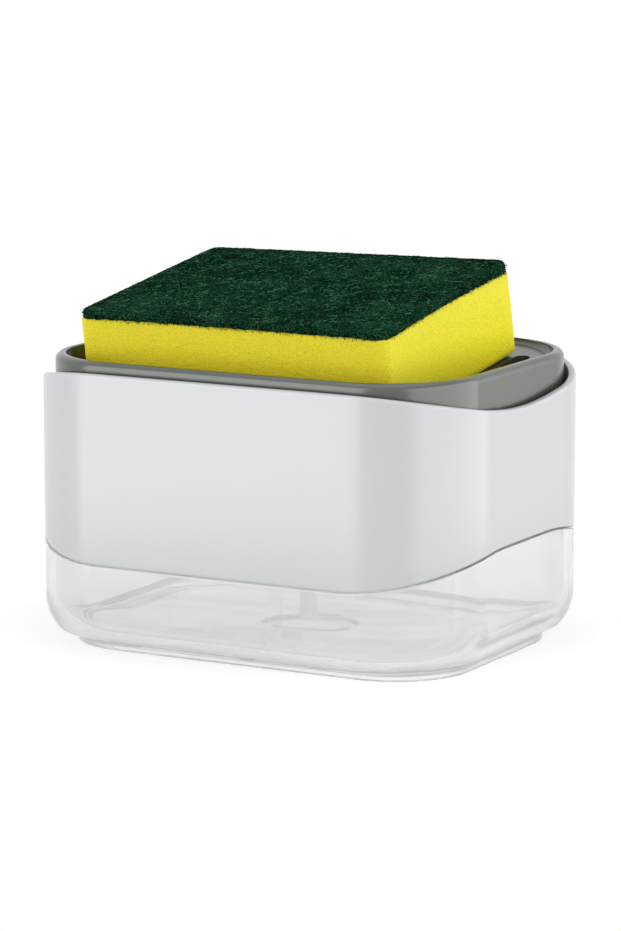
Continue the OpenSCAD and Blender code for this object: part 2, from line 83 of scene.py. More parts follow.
# How the soft sponge lies: drawn over, twisted, spread at its foot, its pad pressed thinner
LEAN, TWIST, FOOT_SPREAD = 0.5, 0.85, 1.5
PRESSED, LESS_AT_BACK, LESS_AT_CORNERS = 1.2, 0.7, 0.45

# Pump spring
SPRING_R, WIRE_R, SPRING_TURNS = 4.6, 0.44, 6.4
SPRING_FOOT, SPRING_LOW, SPRING_HIGH = 29.134, 29.25, 42.86
CLOSED_TURNS, COIL_SLACK = 0.7, 1.04
TURN_STEPS, WIRE_SIDES = 28, 10

# Steps round a corner, along half a long side, along half a short side and round the lower edge
CORNER_STEPS, LONG_STEPS, SHORT_STEPS, ARC_STEPS = 28, 12, 14, 18

# Small rounds: steps round one, and how far its flats are held flat
EDGE_STEPS, EDGE_HOLD, FOOT_HOLD = 4, 0.35, 0.3

CORNER_PATH = CORNER_R * QUARTER
SIDE_PATH = CORNER_PATH + BODY_D / 2 - CORNER_R


# Outlines and rings

def stations(corner_steps, long_steps, short_steps, half_d):
    """Places round a rounded rectangle, each with its share of the straights in x and y, its
    outward normal and its run from the long side."""
    found = []
    for quarter, (sx, sy) in enumerate([(1, 1), (-1, 1), (-1, -1), (1, -1)]):
        turn = math.radians(90 * quarter)
        for i in range(corner_steps + 1):
            a = turn + QUARTER * i / corner_steps
            nx, ny = math.cos(a), math.sin(a)
            found.append((sx, sy, nx, ny, math.asin(min(1.0, abs(nx))) * CORNER_R))
        long_side = quarter % 2 == 0
        steps = 2 * (long_steps if long_side else short_steps)
        nx, ny = round(math.cos(turn + QUARTER)), round(math.sin(turn + QUARTER))
        for i in range(1, steps):
            t = 1 - 2 * i / steps
            if long_side:
                found.append((sx * t, sy, nx, ny, 0.0))
            else:
                found.append((sx, sy * t, nx, ny, CORNER_PATH + (1 - abs(t)) * half_d))
    return found


def outline(places, w, d, r):
    """The places on a rounded rectangle of that width, depth and corner radius."""
    return [(px * (w / 2 - r) + nx * r, py * (d / 2 - r) + ny * r) for px, py, nx, ny, run in places]


BODY = stations(CORNER_STEPS, LONG_STEPS, SHORT_STEPS, BODY_D / 2 - CORNER_R)
BODY_ANGLES = [math.atan2(y, x) for x, y in outline(BODY, BODY_W, BODY_D, CORNER_R)]


def per_place(value):
    return value if isinstance(value, list) else [value] * len(BODY)


def ring_on(w, d, r, insets, heights):
    """A ring on an outline, set in. Inset and height are one number or one for each place."""
    points = []
    for (px, py, nx, ny, run), inset, z in zip(BODY, per_place(insets), per_place(heights)):
        x = px * (w / 2 - r) + nx * (r - inset)
        y = py * (d / 2 - r) + ny * (r - inset)
        points.append(Vector((x, y, z)) * MM)
    return points


def ring(insets, heights):
    return ring_on(BODY_W, BODY_D, CORNER_R, insets, heights)


def foot_ring(insets, heights):
    return ring_on(FOOT_W, FOOT_D, FOOT_R, insets, heights)


def round_ring(radius, z):
    """A circle with as many places as the body's outline has."""
    return [Vector((radius * math.cos(a), radius * math.sin(a), z)) * MM for a in BODY_ANGLES]


def between(a, b, share):
    return [p.lerp(q, share) for p, q in zip(a, b)]


def wave(z, rise, length):
    """Heights that start at z along the long sides and have risen after that length of run."""
    return [z + rise * (1 - math.cos(math.pi * min(run / length, 1.0))) / 2
        for px, py, nx, ny, run in BODY]


def parting_line():
    return wave(PARTING_Z, PARTING_RISE, SIDE_PATH * PARTING_SHARE)


def shifted(heights, by):
    return [z + by for z in heights]


# Sections, as points of inset and height

def bend(inset, z, radius, steps, sweep=QUARTER):
    """An arc round that point, from upright towards the inside and down."""
    angles = [sweep * i / steps for i in range(steps + 1)]
    return [(inset - radius * math.cos(a), z - radius * math.sin(a)) for a in angles]


def corner(before, point, after, radius):
    """A rounded corner, with one more point on each side that keeps the flats flat."""
    p, u, v = Vector(point), Vector(before) - Vector(point), Vector(after) - Vector(point)
    reach_u, reach_v = u.length, v.length
    u.normalize()
    v.normalize()
    half = u.angle(v) / 2
    tangent = radius / math.tan(half)
    middle = p + (u + v).normalized() * (radius / math.sin(half))
    first, last = p + u * tangent, p + v * tangent
    a, b = first - middle, last - middle
    sweep = a.angle(b)
    arc = []
    for i in range(1, EDGE_STEPS):
        t = i / EDGE_STEPS
        arm = (math.sin((1 - t) * sweep) * a + math.sin(t * sweep) * b) / math.sin(sweep)
        arc.append(middle + arm)
    hold_u = min(EDGE_HOLD, (reach_u - tangent) / 3)
    hold_v = min(EDGE_HOLD, (reach_v - tangent) / 3)
    return [first + u * hold_u, first, *arc, last, last + v * hold_v]


def section_rings(sections):
    """Turns one section for each place round the body, all of equal count, into rings."""
    return [ring([s[j][0] for s in sections], [s[j][1] for s in sections])
        for j in range(len(sections[0]))]


# Meshes

def new_object(name, verts, faces):
    mesh = bpy.data.meshes.new(name)
    mesh.from_pydata([tuple(v) for v in verts], [], faces)
    skin = bmesh.new()
    skin.from_mesh(mesh)
    if skin.calc_volume(signed=True) < 0:
        bmesh.ops.reverse_faces(skin, faces=skin.faces)
    skin.to_mesh(mesh)
    skin.free()
    mesh.update()
    mesh.polygons.foreach_set("use_smooth", [True] * len(mesh.polygons))
    obj = bpy.data.objects.new(name, mesh)
    bpy.context.scene.collection.objects.link(obj)
    return obj


def loft(name, rings, closed=False):
    """A skin over rings of equal count. Unless it is closed, fans fill its first and last ring."""
    count = len(rings[0])
    verts = [v for r in rings for v in r]
    faces = []
    for i in range(len(rings) if closed else len(rings) - 1):
        low, high = i * count, (i + 1) % len(rings) * count
        for k in range(count):
            after = (k + 1) % count
            faces.append((low + k, low + after, high + after, high + k))
    if not closed:
        for start, flip in ((0, True), ((len(rings) - 1) * count, False)):
            tip = len(verts)
            verts.append(sum(verts[start:start + count], Vector()) / count)
            for k in range(count):
                a, b = start + k, start + (k + 1) % count
                faces.append((tip, b, a) if flip else (tip, a, b))
    return new_object(name, verts, faces)


def tube_faces(base, sides, spans):
    """Faces of a tube whose rings of vertices start at number base, and of its two ends."""
    faces = []
    for i in range(spans):
        low = base + i * sides
        for k in range(sides):
            a, b = low + k, low + (k + 1) % sides
            faces.append((a, b, b + sides, a + sides))
    tip = base + spans * sides
    return faces + [tuple(reversed(range(base, base + sides))), tuple(range(tip, tip + sides))]


# Sleeve

def sleeve_section(low, high):
    """Up the outside, over the top and down the inside to the step that the deck sits against."""
    corners = [((0, low), SLEEVE_LOW_R), ((0, high), SLEEVE_TOP_R),
        ((SLEEVE_WALL, high), SLEEVE_TOP_IN_R), ((SLEEVE_WALL, DECK_TOP), SLEEVE_STEP_R),
        ((SLEEVE_LIP, DECK_TOP), SLEEVE_STEP_R), ((SLEEVE_LIP, low), SLEEVE_LOW_IN_R)]
    points = []
    for i, (point, radius) in enumerate(corners):
        before, after = corners[i - 1][0], corners[(i + 1) % len(corners)][0]
        points += corner(before, point, after, radius)
    return points


def make_sleeve():
    highs = wave(SLEEVE_TOP, -TOP_DIP, SIDE_PATH)
    sections = [sleeve_section(low, high) for low, high in zip(parting_line(), highs)]
    obj = loft("sleeve_shell", section_rings(sections), closed=True)
    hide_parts("sleeve")
    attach(obj, "top")
    return obj


# Clear tank

def neck_section(shoulder):
    """From inside the tank over the neck's rim and down to the outer edge of the shoulder."""
    wall = (TANK_WALL, FLOOR_Z + BASE_R - TANK_WALL + WALL_START)
    neck_in, neck_out = (TANK_WALL, NECK_TOP), (NECK_INSET, NECK_TOP)
    nook, edge = (NECK_INSET, shoulder), (0, shoulder)
    points = [wall]
    points += corner(wall, neck_in, neck_out, RIM_R)
    points += corner(neck_in, neck_out, nook, RIM_R)
    points += corner(neck_out, nook, edge, NOOK_R)
    points += corner(nook, edge, (0, BASE_ARC_Z), SHOULDER_R)
    return points


def slope_ends(edge_inset, slope):
    """Heights at which the slope from the crease meets the foot."""
    side_in, long_in = (BODY_W - FOOT_W) / 2, (BODY_D - FOOT_D) / 2
    base_in = CORNER_R - FOOT_R
    heights = []
    for px, py, nx, ny, run in BODY:
        inset = base_in + (side_in - base_in) * abs(nx) + (long_in - base_in) * abs(ny)
        heights.append(EDGE_Z - slope * (inset - edge_inset))
    return heights


def tank_outside():
    """From the wall round and down to the crease, the slope, the foot and the recess under it."""
    crease = math.asin((BASE_ARC_Z - EDGE_Z) / BASE_R)
    rings = [ring(*point) for point in bend(BASE_R, BASE_ARC_Z, BASE_R, ARC_STEPS, crease)]
    edge_inset = BASE_R - BASE_R * math.cos(crease)
    slope = (EDGE_Z - FOOT_H) / (FOOT_INSET - edge_inset)
    rings.append(ring(edge_inset + FOOT_HOLD, EDGE_Z - FOOT_HOLD * slope))
    ends = slope_ends(edge_inset, slope)
    # Points of inset and height: the hollow where the slope meets the foot, then the foot's wall
    joint = [(-0.5, shifted(ends, 0.5 * slope)), (-0.12, shifted(ends, 0.04)),
        (0, shifted(ends, -0.15)), (0, FOOT_EDGE + 0.2), (0, FOOT_EDGE)]
    under = [(FOOT_EDGE + FOOT_HOLD, 0.0), (FOOT_T - FOOT_HOLD, 0.0), (FOOT_T, FOOT_HOLD)]
    recess = [(FOOT_T, RECESS_H - FOOT_HOLD), (FOOT_T + 0.1, RECESS_H - 0.08),
        (FOOT_T + FOOT_HOLD, RECESS_H), (FOOT_T + 0.8, RECESS_H)]
    edge = bend(FOOT_EDGE, FOOT_EDGE, FOOT_EDGE, EDGE_STEPS)[1:]
    return rings + [foot_ring(*point) for point in joint + edge + under + recess]


def tank_inside():
    """From the wall round to the floor, then in to the sump and the low disc in its middle."""
    inner_r = BASE_R - TANK_WALL
    rings = [ring(*point) for point in bend(BASE_R, FLOOR_Z + inner_r, inner_r, ARC_STEPS)]
    # The flat floor turns from the body's outline to a circle
    floor, rim = ring(BASE_R + 0.6, FLOOR_Z), round_ring(SUMP_R + 0.9, FLOOR_Z)
    rings += [floor] + [between(floor, rim, share) for share in (0.2, 0.5, 0.8)] + [rim]
    # Points of radius and height: the sump's rounded edge and foot, then the disc
    sump = []
    for i in range(EDGE_STEPS + 1):
        a = QUARTER * i / EDGE_STEPS
        sump.append((SUMP_R + SUMP_EDGE - SUMP_EDGE * math.sin(a),
            FLOOR_Z - SUMP_EDGE + SUMP_EDGE * math.cos(a)))
    sump += [(SUMP_R - 0.1, SUMP_Z + 0.12), (SUMP_R - 0.4, SUMP_Z), (SUMP_R - 1.0, SUMP_Z)]
    disc_z = SUMP_Z + DISC_H
    disc = [(DISC_R, SUMP_Z), (DISC_R - 0.3, disc_z - 0.05), (DISC_R - 1.0, disc_z), (1.0, disc_z)]
    return rings + [round_ring(radius, z) for radius, z in sump + disc]


def make_tank():
    shoulders = shifted(parting_line(), -PARTING_GAP)
    upper = section_rings([neck_section(z) for z in shoulders])
    obj = loft("tank_shell", list(reversed(tank_inside())) + upper + tank_outside())
    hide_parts("tank")
    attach(obj, "base")
    obj.visible_shadow = False
    obj.visible_diffuse = False
    return obj


# Tray

def make_tray_fillet():
    """The hollow corner where the tray's floor runs into its wall, over the seam between the two."""
    outer, foot = TRAY_IN_INSET - FILLET_SUNK, -4 * FILLET_SUNK
    section = [(outer, FILLET_R + FILLET_SUNK)]
    section += bend(TRAY_IN_INSET + FILLET_R, FILLET_R, FILLET_R, FILLET_STEPS)
    section += [(TRAY_IN_INSET + FILLET_R, -FILLET_SUNK), (TRAY_IN_INSET + TRAY_SEAM, foot),
        (outer, foot)]
    rings = []
    for inset, high in section:
        level = (FLOOR_MID + high) * MM
        rings.append([Vector((p.x, p.y, p.y * math.tan(FLOOR_TILT) + level))
            for p in ring(inset, 0.0)])
    obj = loft("tray_fillet", rings, closed=True)
    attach(obj, "press")
    return obj


# Pump spring

def coil_height(turn):
    """Height of the wire after so many turns, which lie close together at both ends."""
    coil = 2 * WIRE_R * COIL_SLACK
    low, high = SPRING_LOW + WIRE_R, SPRING_HIGH - WIRE_R
    open_turns = SPRING_TURNS - 2 * CLOSED_TURNS
    pitch = (high - low - 2 * CLOSED_TURNS * coil) / open_turns
    first, last = min(turn, CLOSED_TURNS), max(0.0, turn - CLOSED_TURNS - open_turns)
    return low + (first + last) * coil + (turn - first - last) * pitch


def make_spring():
    """A round wire with closed ends, made at rest; the real one is drawn together as the tray goes
    down.
    """
    count = round(SPRING_TURNS * TURN_STEPS)
    verts = []
    for i in range(count + 1):
        turn = i / TURN_STEPS
        a, z = 2 * math.pi * turn, coil_height(turn)
        out = Vector((math.cos(a), math.sin(a), 0))
        for k in range(WIRE_SIDES):
            b = 2 * math.pi * k / WIRE_SIDES
            rise = Vector((0, 0, z + WIRE_R * math.sin(b)))
            verts.append((out * (SPRING_R + WIRE_R * math.cos(b)) + rise) * MM)
    obj = new_object("spring_coil", verts, tube_faces(0, WIRE_SIDES, count))
    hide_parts("spring")
    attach(obj, "top")
    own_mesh(obj)
    return obj


# Sponge

def settle(p):
    """Where a point of the plain block lies in the soft sponge. The pad is pressed thinner along
    its front, and least at its back corners."""
    x, y, z = p
    back = 0.5 + y / SPONGE_D
    side = 2 * x / SPONGE_L
    up = z / (FOAM_T + PAD_T)
    spread = max(0.0, side) * back * (1 - up) * FOOT_SPREAD
    far = 2 * back - 1
    thinner = PRESSED - LESS_AT_BACK * max(0.0, far) - LESS_AT_CORNERS * side ** 4 * far ** 4
    foam_mid = FOAM_T / 2
    share = (z - foam_mid) / (PAD_LOW - foam_mid) if z < PAD_LOW else 1 - (z - PAD_LOW) / PAD_T
    z += thinner * max(0.0, share)
    x = x + LEAN * back * up + spread
    return x, y + LEAN * back * (1 - up), z + TWIST * side * back * up


def on_floor(p):
    """From the level sponge, in millimetres, to its place on the sloping floor, in metres."""
    x, y, z = settle(p)
    s, c = math.sin(FLOOR_TILT), math.cos(FLOOR_TILT)
    return Vector((x - SPONGE_SHIFT, y * c - z * s, y * s + z * c + FLOOR_MID)) * MM


def sponge_places(step, radius):
    """Places round the sponge, about that step apart."""
    corner_steps = max(7, round(radius * 1.6 / step))
    long_steps = round((SPONGE_L / 2 - radius) / step)
    short_steps = round((SPONGE_D / 2 - radius) / step)
    return stations(corner_steps, long_steps, short_steps, SPONGE_D / 2)


def edge_rows(z, edge, start, end, steps=3):
    """Rows round a slab's edge: inset, height, and how far the skin there faces out and up."""
    rows = []
    for i in range(steps + 1):
        a = math.radians(start + (end - start) * i / steps)
        rows.append((edge - edge * math.cos(a), z + edge * math.sin(a), math.cos(a), math.sin(a)))
    return rows


def slab_rows(low, high, edge_low, edge_high, step):
    flat = high - low - edge_low - edge_high
    steps = max(1, round(flat / step))
    rows = edge_rows(low + edge_low, edge_low, -90, 0)
    rows += [(0.0, low + edge_low + flat * i / steps, 1.0, 0.0) for i in range(1, steps)]
    return rows + edge_rows(high - edge_high, edge_high, 0, 90)


def flat_rings(end, up, shares):
    """Rings that fill a slab's flat face from its edge towards the middle."""
    return [[(Vector((p.x * share, p.y * share, p.z)), Vector((0, 0, up))) for p, n in end]
        for share in shares]


def slab(name, radius, rows, across, shares, push):
    """A rounded slab whose skin push(point, normal) moves. Its plan has corners of that radius."""
    places = sponge_places(across, radius)
    rings = []
    for inset, z, out, up in rows:
        flat = outline(places, SPONGE_L - 2 * inset, SPONGE_D - 2 * inset, radius - inset)
        rings.append([(Vector((x, y, z)), Vector((nx * out, ny * out, up)))
            for (x, y), (px, py, nx, ny, run) in zip(flat, places)])
    lower, upper = flat_rings(rings[0], -1.0, shares), flat_rings(rings[-1], 1.0, shares)
    rings = list(reversed(lower)) + rings + upper
    return loft(name, [[on_floor(push(p, n.normalized())) for p, n in row] for row in rings])


# Skins of foam and pad, in millimetres: how far they are set back and how far noise moves them
SKIN_BACK = 0.06
PORE_DEPTH, UNEVEN_DEPTH = 0.09, 0.16
FIBRE_DEPTH, CLUMP_DEPTH, DRIFT_RISE = 0.16, 0.10, 0.18
RAGGED_BAND, RAGGED_RISE, RAGGED_HANG = 1.2, 0.42, 0.12
PAD_FACE_STEPS = 46


def foam_push(p, n):
    """Open pores all over, and slow unevenness in the upright faces."""
    pores = noise.noise(p * 1.7) + 0.6 * noise.noise(p * 0.8 + Vector((7, 3, 5)))
    soft = noise.noise(p * 0.06 + Vector((1, 9, 4)))
    side = math.hypot(n.x, n.y)
    return p + n * (-SKIN_BACK + PORE_DEPTH * pores + UNEVEN_DEPTH * soft * side)


def make_foam():
    rows = slab_rows(SPONGE_LIFT, PAD_LOW, edge_low=2.2, edge_high=0.5, step=0.5)
    shares = [0.98, 0.94, 0.85, 0.6, 0.3, 0.05]
    obj = slab("foam", FOAM_R, rows, across=0.5, shares=shares, push=foam_push)
    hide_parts("sponge")
    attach(obj, "sponge")
    return obj


def pad_push(p, n):
    """Fibrous skin, and a ragged lower edge that hangs over the foam's."""
    fibres = noise.noise(p * 1.6) + 0.6 * noise.noise(p * 3.1)
    clumps = noise.noise(Vector((p.x, p.y, 0)) * 0.22)
    side = math.hypot(n.x, n.y)
    low = max(0.0, 1 - (p.z - PAD_LOW) / RAGGED_BAND) * min(1.0, side * 2)
    drift = noise.noise(Vector((p.x * 0.07, p.y * 0.07, 3.0)))
    ragged = noise.noise(Vector((p.x * 0.45, p.y * 0.45, 8.0)))
    ragged += 0.6 * noise.noise(Vector((p.x, p.y, 2.0)) * 1.3)
    lift = DRIFT_RISE * drift * side + low * (RAGGED_RISE * ragged - RAGGED_HANG)
    moved = p + n * (-SKIN_BACK + FIBRE_DEPTH * fibres + CLUMP_DEPTH * clumps)
    return moved + Vector((0, 0, lift))


def make_pad():
    rows = slab_rows(PAD_LOW - 0.05, PAD_TOP, edge_low=0.3, edge_high=1.1, step=0.4)
    shares = [1 - i / PAD_FACE_STEPS for i in range(1, PAD_FACE_STEPS)]
    obj = slab("scouring_pad", PAD_R, rows, across=0.6, shares=shares, push=pad_push)
    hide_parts("scour_pad")
    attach(obj, "sponge")
    return obj


# Loose fibres of the pad, in millimetres, with their ranges of length and radius

FIBRE_SEED = 11
STRAND_SIDES, STRAND_SPANS, STRAND_CURL, STRAND_WANDER = 3, 5, 0.9, 0.12

# Matted: where they start under the top, how far from the edge, and how near to it they may end
MATTED_COUNT, MATTED_LENGTH, MATTED_R = 7000, (1.3, 3.4), (0.035, 0.07)
MATTED_LEVEL, MATTED_SLANT = (-0.30, 0.02), (-0.05, 0.05)
MATTED_MARGIN, MATTED_REACH = 1.2, 0.8

# Round the edge: lying along the side and hanging down, and how far each starts inside the pad
EDGE_SPACING, EDGE_EACH = 0.35, 2
LYING_LENGTH, LYING_R, LYING_SUNK = (0.7, 1.5), (0.05, 0.09), 0.45
HANGING_LENGTH, HANGING_R, HANGING_SUNK = (0.3, 0.85), (0.03, 0.05), 0.05


class Strands:
    """Gathers curly fibres of three sides into one mesh."""

    def __init__(self, rng):
        self.rng = rng
        self.verts, self.faces = [], []

    def add(self, start, heading, length, radius):
        p, direction = Vector(start), Vector(heading)
        turn = self.rng.uniform(-STRAND_CURL, STRAND_CURL)
        base = len(self.verts)
        for i in range(STRAND_SPANS + 1):
            self.add_ring(p, direction, radius * (1.0 if 0 < i < STRAND_SPANS else 0.5))
            direction = Matrix.Rotation(turn / STRAND_SPANS * 3, 3, "Z") @ direction
            direction.z += self.rng.uniform(-STRAND_WANDER, STRAND_WANDER)
            direction.normalize()
            p = p + direction * (length / STRAND_SPANS)
        self.faces += tube_faces(base, STRAND_SIDES, STRAND_SPANS)

    def add_ring(self, p, direction, radius):
        side = direction.cross(Vector((0, 0, 1)))
        side = side.normalized() if side.length > 1e-6 else Vector((1, 0, 0))
        up = side.cross(direction).normalized()
        for k in range(STRAND_SIDES):
            a = 2 * math.pi * k / STRAND_SIDES
            self.verts.append(on_floor(p + (side * math.cos(a) + up * math.sin(a)) * radius))

    def piece(self, name):
        obj = new_object(name, self.verts, self.faces)
        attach(obj, "sponge")
        return obj


def make_top_fibres(rng):
    """Fibres matted all over the pad's top. One that would stick out over the edge is turned back."""
    half_l, half_d = SPONGE_L / 2, SPONGE_D / 2
    strands = Strands(rng)
    for i in range(MATTED_COUNT):
        x = rng.uniform(-1, 1) * (half_l - MATTED_MARGIN)
        y = rng.uniform(-1, 1) * (half_d - MATTED_MARGIN)
        a = rng.uniform(0, 2 * math.pi)
        start = (x, y, PAD_TOP + rng.uniform(*MATTED_LEVEL))
        length = rng.uniform(*MATTED_LENGTH)
        end_x, end_y = x + math.cos(a) * length, y + math.sin(a) * length
        if abs(end_x) > half_l - MATTED_REACH or abs(end_y) > half_d - MATTED_REACH:
            a += math.pi
        heading = (math.cos(a), math.sin(a), rng.uniform(*MATTED_SLANT))
        strands.add(start, heading, length, rng.uniform(*MATTED_R))
    return strands.piece("pad_fibres")


def make_edge_fibres(rng):
    """Ragged ends round the pad: at each place some lie along its side and some hang down."""
    down = Vector((0, 0, -1))
    strands = Strands(rng)
    places = sponge_places(EDGE_SPACING, PAD_R)
    edge = outline(places, SPONGE_L, SPONGE_D, PAD_R)
    for (x, y), (px, py, nx, ny, run) in zip(edge, places):
        tangent = Vector((-ny, nx, 0))
        for lying in range(EDGE_EACH):
            z = PAD_LOW + rng.uniform(-0.3, PAD_T - 0.9)
            heading = Vector((nx, ny, rng.uniform(-0.4, 0.3))) * rng.uniform(0.05, 0.35)
            heading += tangent * rng.uniform(-1, 1)
            start = (x - nx * LYING_SUNK, y - ny * LYING_SUNK, z)
            strands.add(start, heading.normalized(), rng.uniform(*LYING_LENGTH),
                rng.uniform(*LYING_R))
        for hanging in range(EDGE_EACH):
            z = PAD_LOW + rng.uniform(-0.3, 0.4)
            heading = tangent * rng.uniform(-0.9, 0.9) + Vector((nx, ny, 0)) * 0.12 + down
            start = (x - nx * HANGING_SUNK, y - ny * HANGING_SUNK, z)
            strands.add(start, heading.normalized(), rng.uniform(*HANGING_LENGTH),
                rng.uniform(*HANGING_R))
    return strands.piece("pad_edge_fibres")


def make_fibres():
    rng = random.Random(FIBRE_SEED)
    return make_top_fibres(rng), make_edge_fibres(rng)


# Materials

def add_node(tree, kind, **values):
    """A new shader node, with its inputs set by name."""
    node = tree.nodes.new("ShaderNode" + kind)
    for name, value in values.items():
        node.inputs[name.replace("_", " ")].default_value = value
    return node


def math_node(tree, kind, *values):
    """The result of a Math node whose inputs are sockets or numbers."""
    node = add_node(tree, "Math")
    node.operation = kind
    for value, socket in zip(values, node.inputs):
        if isinstance(value, (int, float)):
            socket.default_value = value
        else:
            tree.links.new(value, socket)
    return node.outputs[0]


class Shade:
    """A node material with a Principled shader and a few helpers."""

    def __init__(self, name):
        self.mat = bpy.data.materials.new(name)
        self.mat.use_nodes = True
        self.tree = self.mat.node_tree
        self.shader = self.tree.nodes["Principled BSDF"]
        self.coords = self.node("TexCoord")

    def node(self, kind, **values):
        return add_node(self.tree, kind, **values)

    def join(self, output, socket):
        self.tree.links.new(output, socket)

    def set(self, **values):
        for name, value in values.items():
            self.shader.inputs[name.replace("_", " ")].default_value = value

    def link(self, output, to):
        self.join(output, self.shader.inputs[to])

    def noise(self, scale, detail=3.0, roughness=0.5, stretch=None):
        node = self.node("TexNoise", Scale=scale, Detail=detail, Roughness=roughness)
        source = self.coords.outputs["Object"]
        if stretch:
            mapping = self.node("Mapping", Scale=stretch)
            self.join(source, mapping.inputs["Vector"])
            source = mapping.outputs["Vector"]
        self.join(source, node.inputs["Vector"])
        return node.outputs["Fac"]

    def cells(self, scale):
        node = self.node("TexVoronoi", Scale=scale)
        self.join(self.coords.outputs["Object"], node.inputs["Vector"])
        return node.outputs["Distance"]

    def axes(self, output):
        """X, Y and Z of the object's own coordinates or of its normals."""
        node = self.node("SeparateXYZ")
        self.join(self.coords.outputs[output], node.inputs[0])
        return node.outputs

    def ramp(self, value, stops):
        node = self.node("ValToRGB")
        points = node.color_ramp.elements
        while len(points) < len(stops):
            points.new(0.5)
        for point, (at, colour) in zip(points, stops):
            point.position = at
            point.color = (*colour, 1.0)
        self.join(value, node.inputs["Fac"])
        return node.outputs["Color"]

    def spread(self, value, low, high, start=0.0, end=1.0):
        """Spreads a value that runs from start to end over low to high."""
        node = self.node("MapRange", From_Min=start, From_Max=end, To_Min=low, To_Max=high)
        self.join(value, node.inputs["Value"])
        return node.outputs["Result"]

    def math(self, kind, *values):
        return math_node(self.tree, kind, *values)

    def mix(self, *parts):
        """The sum of values, each times its share."""
        scaled = [self.math("MULTIPLY", value, share) for value, share in parts]
        total = scaled[0]
        for value in scaled[1:]:
            total = self.math("ADD", total, value)
        return total

    def tint(self, colour, by):
        """One colour times another."""
        node = self.node("Mix")
        node.data_type, node.blend_type = "RGBA", "MULTIPLY"
        node.inputs["Factor"].default_value = 1.0
        self.join(colour, node.inputs["A"])
        self.join(by, node.inputs["B"])
        return node.outputs["Result"]

    def bump(self, height, strength, distance):
        node = self.node("Bump", Strength=strength, Distance=distance)
        self.join(height, node.inputs["Height"])
        self.link(node.outputs["Normal"], "Normal")


def tone(colour, by):
    return tuple(min(1.0, c * by) for c in colour)


def moulded(name, colour, rough, gloss, vary=0.02, uneven=0.03):
    """Moulded plastic: slight flow marks in the colour, a little grain and uneven gloss."""
    s = Shade(name)
    flow = s.noise(26.0, detail=4.0, roughness=0.6, stretch=(1.0, 1.0, 0.35))
    darker, paler = tone(colour, 1 - vary), tone(colour, 1 + vary)
    s.link(s.ramp(flow, [(0.3, darker), (0.7, paler)]), "Base Color")
    gleam = s.noise(140.0, detail=3.0, roughness=0.55)
    s.link(s.spread(gleam, rough - uneven, rough + uneven), "Roughness")
    s.bump(s.noise(900.0, detail=2.0), strength=0.25, distance=0.00002)
    s.set(Specular_IOR_Level=gloss)
    return s.mat


def shoulder_gap_shade(s, low=0.022, high=0.040):
    """Painted shade: where the tank's shoulder lies under the sleeve's gap, and most of all towards
    the short sides.
    """
    normal, place = s.axes("Normal"), s.axes("Object")
    level = s.math("GREATER_THAN", normal["Z"], 0.5)
    ledge = s.math("MULTIPLY", level, s.math("LESS_THAN", place["Z"], high))
    ledge = s.math("MULTIPLY", ledge, s.math("GREATER_THAN", place["Z"], low))
    out = s.math("MULTIPLY", s.math("ABSOLUTE", place["X"]), 1 / (BODY_W / 2 * MM))
    return s.math("MULTIPLY", ledge, s.math("POWER", out, 6.0))


def clear_plastic():
    """Clear plastic with painted shade: a dark line along its shoulder, where the sleeve's gap holds
    no light.
    """
    white, line = (1.0, 1.0, 1.0), (0.10, 0.11, 0.16)
    s = Shade("clear_plastic")
    haze = s.noise(18.0, detail=3.0)
    clear = s.ramp(haze, [(0.3, (0.952, 0.949, 0.962)), (0.7, (0.962, 0.960, 0.972))])
    # the base colour darkens to a painted shade line on the shoulder, under the sleeve's gap
    s.link(s.tint(clear, s.ramp(shoulder_gap_shade(s), [(0.0, white), (0.8, line)])), "Base Color")
    s.link(s.spread(s.noise(60.0, detail=2.0), 0.015, 0.035), "Roughness")
    s.bump(s.noise(30.0, detail=2.0, roughness=0.4), strength=0.10, distance=0.00005)
    s.set(Transmission_Weight=0.81, IOR=1.45, Alpha=0.88)
    return s.mat


def foam_material():
    """Yellow foam with dark pores. Painted shade makes it deeper in colour towards its foot, where the
    tray's rim shades it, and on its long faces, with painted light on its ends.
    """
    pore, body, skin = (0.48, 0.37, 0.003), (0.95, 0.755, 0.012), (1.0, 0.865, 0.06)
    s = Shade("yellow_foam")
    fine = s.noise(3000.0, detail=2.0, roughness=0.6)
    mixed = s.mix((s.cells(2100.0), 0.8), (fine, 0.5))
    grain = s.ramp(mixed, [(0.24, pore), (0.42, body), (0.62, skin)])
    # painted shade: the colour deepens towards the foam's foot, where the tray's rim shades it
    place = s.axes("Object")
    slope = s.math("MULTIPLY", place["Y"], math.tan(FLOOR_TILT))
    level = s.math("SUBTRACT", place["Z"], slope)
    height = s.spread(level, 0.0, 1.0, FLOOR_MID * MM, (FLOOR_MID + FOAM_T) * MM)
    foot_shaded = s.tint(grain, s.ramp(height, [(0.1, (1.0, 0.97, 0.38)), (0.9, (0.99, 0.99, 1.08))]))
    # painted light and shade by facing: the long faces are toned darker and the ends brighter
    endways = s.math("ABSOLUTE", s.axes("Normal")["X"])
    faces = s.ramp(endways, [(0.25, (0.945, 0.94, 0.84)), (0.9, (1.03, 1.05, 1.1))])
    s.link(s.tint(foot_shaded, faces), "Base Color")
    s.link(s.spread(fine, 0.75, 0.95), "Roughness")
    s.bump(mixed, strength=0.6, distance=0.0004)
    s.set(Specular_IOR_Level=0.1, Subsurface_Weight=0.45, Subsurface_Scale=0.004,
        Subsurface_Radius=(1.0, 0.85, 0.15))
    return s.mat


